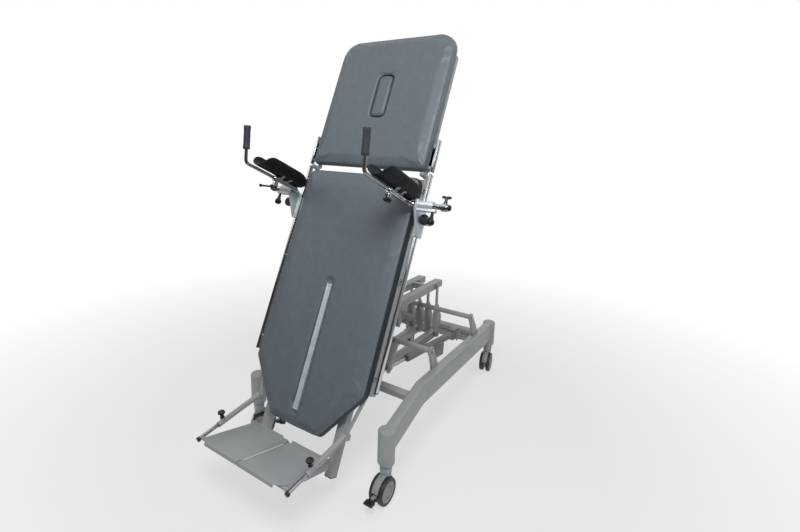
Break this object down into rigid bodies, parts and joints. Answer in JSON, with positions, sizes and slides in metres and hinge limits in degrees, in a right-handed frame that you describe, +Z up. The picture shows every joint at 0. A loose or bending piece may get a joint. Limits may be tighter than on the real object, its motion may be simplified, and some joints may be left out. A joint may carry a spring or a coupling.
{
  "type": "tilt table",
  "caption": "Two-section physiotherapy tilt table with castor base, lift and tilt linkage, footplates and two clamped forearm supports, stood up near 65 degrees",
  "frame": {"origin": "on the floor below the middle of the table's overall width and length", "axes": "+X across the width, to the right seen from the foot end; -Y is the foot end that the footplates face; +Z is up"},
  "size_m": [1.07, 1.9748, 2.0926],
  "materials": {
    "frame_paint": "light grey powder coat",
    "grey_plastic": "fine grained moulding",
    "tyre_rubber": "smooth black tread on grey discs",
    "black_plastic": "black, slightly glossy",
    "chrome": "polished",
    "steel": "ground rod",
    "black_paint": "satin black",
    "aluminium": "satin anodised",
    "leatherette": "slate blue, fine grain, soft sheen"
  },
  "bodies": {
    "base": {"base_beam_right": "frame_paint", "base_beam_left": "frame_paint", "front_cross_tube": "frame_paint", "rear_cross_member": "frame_paint", "control_box": "grey_plastic"},
    "castor_front_right": {"castor_hood_front_right": "grey_plastic"},
    "wheels_front_right": {"castor_wheels_front_right": "tyre_rubber"},
    "pedal_front_right": {"brake_pedal_front_right": "black_plastic"},
    "castor_front_left": {"castor_hood_front_left": "grey_plastic"},
    "wheels_front_left": {"castor_wheels_front_left": "tyre_rubber"},
    "pedal_front_left": {"brake_pedal_front_left": "black_plastic"},
    "castor_rear_right": {"castor_hood_rear_right": "grey_plastic"},
    "wheels_rear_right": {"castor_wheels_rear_right": "tyre_rubber"},
    "castor_rear_left": {"castor_hood_rear_left": "grey_plastic"},
    "wheels_rear_left": {"castor_wheels_rear_left": "tyre_rubber"},
    "front_crank": {"front_lift_crank": "frame_paint"},
    "rear_crank": {"rear_lift_crank": "frame_paint"},
    "rods": {"connecting_rods": "frame_paint"},
    "lift_frame": {"lift_frame": "frame_paint"},
    "lift_actuator": {"lift_actuator_body": "grey_plastic"},
    "lift_rod": {"lift_actuator_rod": "steel"},
    "tilt_actuator": {"tilt_actuator_body": "grey_plastic"},
    "tilt_rod": {"tilt_actuator_rod": "steel"},
    "table": {"frame_side_right": "frame_paint", "frame_side_left": "frame_paint", "side_rail_right": "chrome", "side_rail_left": "chrome", "frame_cross_tubes": "frame_paint", "body_cushion": "leatherette", "slot_channel": "aluminium", "footrest_frame": "frame_paint"},
    "head": {"head_frame": "frame_paint", "head_cushion": "leatherette"},
    "plug": {"face_plug": "leatherette"},
    "gas_body": {"gas_spring_body": "black_paint"},
    "gas_rod": {"gas_spring_rod": "chrome"},
    "footplate_right": {"footplate_right": "frame_paint"},
    "strut_outer_right": {"strut_outer_right": "frame_paint"},
    "strut_inner_right": {"strut_inner_right": "chrome"},
    "strut_knob_right": {"strut_knob_right": "black_plastic"},
    "clamp_right": {"rail_clamp_right": "aluminium"},
    "clamp_knob_right": {"clamp_knob_right": "black_plastic"},
    "sleeve_knob_right": {"sleeve_knob_right": "black_plastic"},
    "tee_knob_right": {"tee_knob_right": "black_plastic"},
    "arm_right": {"arm_tube_right": "chrome", "arm_gutter_right": "black_plastic"},
    "grip_right": {"grip_rod_right": "chrome"},
    "lock_knob_right": {"lock_knob_right": "black_plastic"},
    "footplate_left": {"footplate_left": "frame_paint"},
    "strut_outer_left": {"strut_outer_left": "frame_paint"},
    "strut_inner_left": {"strut_inner_left": "chrome"},
    "strut_knob_left": {"strut_knob_left": "black_plastic"},
    "clamp_left": {"rail_clamp_left": "aluminium"},
    "clamp_knob_left": {"clamp_knob_left": "black_plastic"},
    "sleeve_knob_left": {"sleeve_knob_left": "black_plastic"},
    "tee_knob_left": {"tee_knob_left": "black_plastic"},
    "arm_left": {"arm_tube_left": "chrome", "arm_gutter_left": "black_plastic"},
    "grip_left": {"grip_rod_left": "chrome"},
    "lock_knob_left": {"lock_knob_left": "black_plastic"}
  },
  "joints": [
    {"name": "swivel_front_right", "type": "hinge", "parent": "base", "child": "castor_front_right", "pos_m": [0.40597, -0.49337, 0.156], "axis": [0, 0, 1], "continuous": true},
    {"name": "roll_front_right", "type": "hinge", "parent": "castor_front_right", "child": "wheels_front_right", "pos_m": [0.40597, -0.51737, 0.0625], "axis": [-1, 0, 0], "continuous": true},
    {"name": "brake_front_right", "type": "hinge", "parent": "castor_front_right", "child": "pedal_front_right", "pos_m": [0.40597, -0.59337, 0.0625], "axis": [-1, 0, 0], "range_deg": [-20, 0]},
    {"name": "swivel_front_left", "type": "hinge", "parent": "base", "child": "castor_front_left", "pos_m": [-0.40597, -0.49337, 0.156], "axis": [0, 0, 1], "continuous": true},
    {"name": "roll_front_left", "type": "hinge", "parent": "castor_front_left", "child": "wheels_front_left", "pos_m": [-0.38658, -0.47923, 0.0625], "axis": [0.5892, -0.808, 0], "continuous": true},
    {"name": "brake_front_left", "type": "hinge", "parent": "castor_front_left", "child": "pedal_front_left", "pos_m": [-0.32517, -0.43445, 0.0625], "axis": [0.5892, -0.808, 0], "range_deg": [-20, 0]},
    {"name": "swivel_rear_right", "type": "hinge", "parent": "base", "child": "castor_rear_right", "pos_m": [0.30903, 0.94337, 0.156], "axis": [0, 0, 1], "continuous": true},
    {"name": "roll_rear_right", "type": "hinge", "parent": "castor_rear_right", "child": "wheels_rear_right", "pos_m": [0.3132, 0.91973, 0.0625], "axis": [-0.9848, -0.1736, 0], "continuous": true},
    {"name": "swivel_rear_left", "type": "hinge", "parent": "base", "child": "castor_rear_left", "pos_m": [-0.30903, 0.94337, 0.156], "axis": [0, 0, 1], "continuous": true},
    {"name": "roll_rear_left", "type": "hinge", "parent": "castor_rear_left", "child": "wheels_rear_left", "pos_m": [-0.30371, 0.91996, 0.0625], "axis": [-0.9751, -0.2215, 0], "continuous": true},
    {"name": "lift", "type": "hinge", "parent": "base", "child": "front_crank", "pos_m": [0, 0.012, 0.5], "axis": [-1, 0, 0], "range_deg": [0, 50]},
    {"name": "rear_crank_turn", "type": "hinge", "parent": "base", "child": "rear_crank", "pos_m": [0, 0.571, 0.5], "axis": [-1, 0, 0], "range_deg": [0, 50]},
    {"name": "rod_turn", "type": "hinge", "parent": "front_crank", "child": "rods", "pos_m": [0, 0.035, 0.316], "axis": [-1, 0, 0], "range_deg": [-50, 0]},
    {"name": "frame_level", "type": "hinge", "parent": "front_crank", "child": "lift_frame", "pos_m": [0, 0.012, 0.65], "axis": [-1, 0, 0], "range_deg": [-50, 0]},
    {"name": "lift_actuator_swing", "type": "hinge", "parent": "base", "child": "lift_actuator", "pos_m": [0.13, 0.783, 0.27], "axis": [-1, 0, 0], "range_deg": [0, 5.82]},
    {"name": "lift_rod_slide", "type": "slide", "parent": "lift_actuator", "child": "lift_rod", "axis": [0, -0.9943, 0.1068], "range_m": [0, 0.10111]},
    {"name": "tilt", "type": "hinge", "parent": "lift_frame", "child": "table", "pos_m": [0, -0.391, 0.65], "axis": [1, 0, 0], "range_deg": [-65, 20]},
    {"name": "tilt_actuator_swing", "type": "hinge", "parent": "lift_frame", "child": "tilt_actuator", "pos_m": [0, 0.225, 0.51], "axis": [1, 0, 0], "range_deg": [-1.84, 6]},
    {"name": "tilt_rod_slide", "type": "slide", "parent": "tilt_actuator", "child": "tilt_rod", "axis": [0, -0.9087, 0.4175], "range_m": [-0.11681, 0.03594]},
    {"name": "head", "type": "hinge", "parent": "table", "child": "head", "pos_m": [0, -0.12487, 1.42184], "axis": [1, 0, 0], "range_deg": [0, 45]},
    {"name": "gas_swing", "type": "hinge", "parent": "table", "child": "gas_body", "pos_m": [0.15, -0.14013, 1.12884], "axis": [1, 0, 0], "range_deg": [0, 12.24]},
    {"name": "gas_rod_slide", "type": "slide", "parent": "gas_body", "child": "gas_rod", "axis": [0, 0.3973, 0.9177], "range_m": [0, 0.06164]},
    {"name": "plug_pull", "type": "slide", "parent": "head", "child": "plug", "axis": [0, -0.9063, 0.4226], "range_m": [0, 0.12]},
    {"name": "footplate_tilt_right", "type": "hinge", "parent": "table", "child": "footplate_right", "pos_m": [0.12, -0.67245, 0.19314], "axis": [1, 0, 0], "range_deg": [-20, 0]},
    {"name": "strut_swing_right", "type": "hinge", "parent": "table", "child": "strut_outer_right", "pos_m": [0.27, -0.62138, 0.32159], "axis": [1, 0, 0], "range_deg": [-16.69, 0]},
    {"name": "strut_slide_right", "type": "slide", "parent": "strut_outer_right", "child": "strut_inner_right", "axis": [0, -0.9911, -0.1328], "range_m": [-0.04444, 0]},
    {"name": "strut_knob_turn_right", "type": "hinge", "parent": "strut_outer_right", "child": "strut_knob_right", "pos_m": [0.27, -0.83546, 0.2929], "axis": [0, 0.1328, -0.9911], "continuous": true},
    {"name": "clamp_slide_right", "type": "slide", "parent": "table", "child": "clamp_right", "axis": [0, 0.4226, 0.9063], "range_m": [-0.6, 0.05]},
    {"name": "clamp_knob_turn_right", "type": "hinge", "parent": "clamp_right", "child": "clamp_knob_right", "pos_m": [0.408, -0.23924, 1.23574], "axis": [0, 0.9063, -0.4226], "continuous": true},
    {"name": "sleeve_knob_turn_right", "type": "hinge", "parent": "clamp_right", "child": "sleeve_knob_right", "pos_m": [0.457, -0.26588, 1.24486], "axis": [0, 0.4226, 0.9063], "continuous": true},
    {"name": "arm_turn_right", "type": "hinge", "parent": "clamp_right", "child": "arm_right", "pos_m": [0.42, -0.24052, 1.29923], "axis": [1, 0, 0], "range_deg": [0, 60]},
    {"name": "tee_knob_turn_right", "type": "hinge", "parent": "arm_right", "child": "tee_knob_right", "pos_m": [0.505, -0.22784, 1.32642], "axis": [0, 0.4226, 0.9063], "continuous": true},
    {"name": "grip_slide_right", "type": "slide", "parent": "arm_right", "child": "grip_right", "axis": [0, 0.9063, -0.4226], "range_m": [-0.06, 0.04]},
    {"name": "lock_knob_turn_right", "type": "hinge", "parent": "arm_right", "child": "lock_knob_right", "pos_m": [0.333, -0.42479, 1.32999], "axis": [0, 0.4226, 0.9063], "continuous": true},
    {"name": "footplate_tilt_left", "type": "hinge", "parent": "table", "child": "footplate_left", "pos_m": [-0.12, -0.67245, 0.19314], "axis": [1, 0, 0], "range_deg": [-20, 0]},
    {"name": "strut_swing_left", "type": "hinge", "parent": "table", "child": "strut_outer_left", "pos_m": [-0.27, -0.62138, 0.32159], "axis": [1, 0, 0], "range_deg": [-16.69, 0]},
    {"name": "strut_slide_left", "type": "slide", "parent": "strut_outer_left", "child": "strut_inner_left", "axis": [0, -0.9911, -0.1328], "range_m": [-0.04444, 0]},
    {"name": "strut_knob_turn_left", "type": "hinge", "parent": "strut_outer_left", "child": "strut_knob_left", "pos_m": [-0.27, -0.83546, 0.2929], "axis": [0, 0.1328, -0.9911], "continuous": true},
    {"name": "clamp_slide_left", "type": "slide", "parent": "table", "child": "clamp_left", "axis": [0, 0.4226, 0.9063], "range_m": [-0.6, 0.05]},
    {"name": "clamp_knob_turn_left", "type": "hinge", "parent": "clamp_left", "child": "clamp_knob_left", "pos_m": [-0.408, -0.23924, 1.23574], "axis": [0, 0.9063, -0.4226], "continuous": true},
    {"name": "sleeve_knob_turn_left", "type": "hinge", "parent": "clamp_left", "child": "sleeve_knob_left", "pos_m": [-0.457, -0.26588, 1.24486], "axis": [0, 0.4226, 0.9063], "continuous": true},
    {"name": "arm_turn_left", "type": "hinge", "parent": "clamp_left", "child": "arm_left", "pos_m": [-0.42, -0.24052, 1.29923], "axis": [1, 0, 0], "range_deg": [0, 60]},
    {"name": "tee_knob_turn_left", "type": "hinge", "parent": "arm_left", "child": "tee_knob_left", "pos_m": [-0.505, -0.22784, 1.32642], "axis": [0, 0.4226, 0.9063], "continuous": true},
    {"name": "grip_slide_left", "type": "slide", "parent": "arm_left", "child": "grip_left", "axis": [0, 0.9063, -0.4226], "range_m": [-0.06, 0.04]},
    {"name": "lock_knob_turn_left", "type": "hinge", "parent": "arm_left", "child": "lock_knob_left", "pos_m": [-0.333, -0.42479, 1.32999], "axis": [0, 0.4226, 0.9063], "continuous": true}
  ],
  "couplings": [
    {"joint": "rear_crank_turn", "follows": "lift", "ratio": 1},
    {"joint": "rod_turn", "follows": "lift", "ratio": -1},
    {"joint": "frame_level", "follows": "lift", "ratio": -1},
    {"joint": "lift_actuator_swing", "follows": "lift", "ratio": 0.11633},
    {"joint": "lift_rod_slide", "follows": "lift", "m_per_rad": 0.11586},
    {"joint": "tilt_actuator_swing", "follows": "tilt", "ratio": -0.092265},
    {"joint": "tilt_rod_slide", "follows": "tilt", "m_per_rad": 0.10297},
    {"joint": "gas_swing", "follows": "head", "ratio": 0.27201},
    {"joint": "gas_rod_slide", "follows": "head", "m_per_rad": 0.078477},
    {"joint": "strut_swing_right", "follows": "footplate_tilt_right", "ratio": 0.83441},
    {"joint": "strut_slide_right", "follows": "footplate_tilt_right", "m_per_rad": 0.12731},
    {"joint": "strut_swing_left", "follows": "footplate_tilt_left", "ratio": 0.83441},
    {"joint": "strut_slide_left", "follows": "footplate_tilt_left", "m_per_rad": 0.12731}
  ]
}
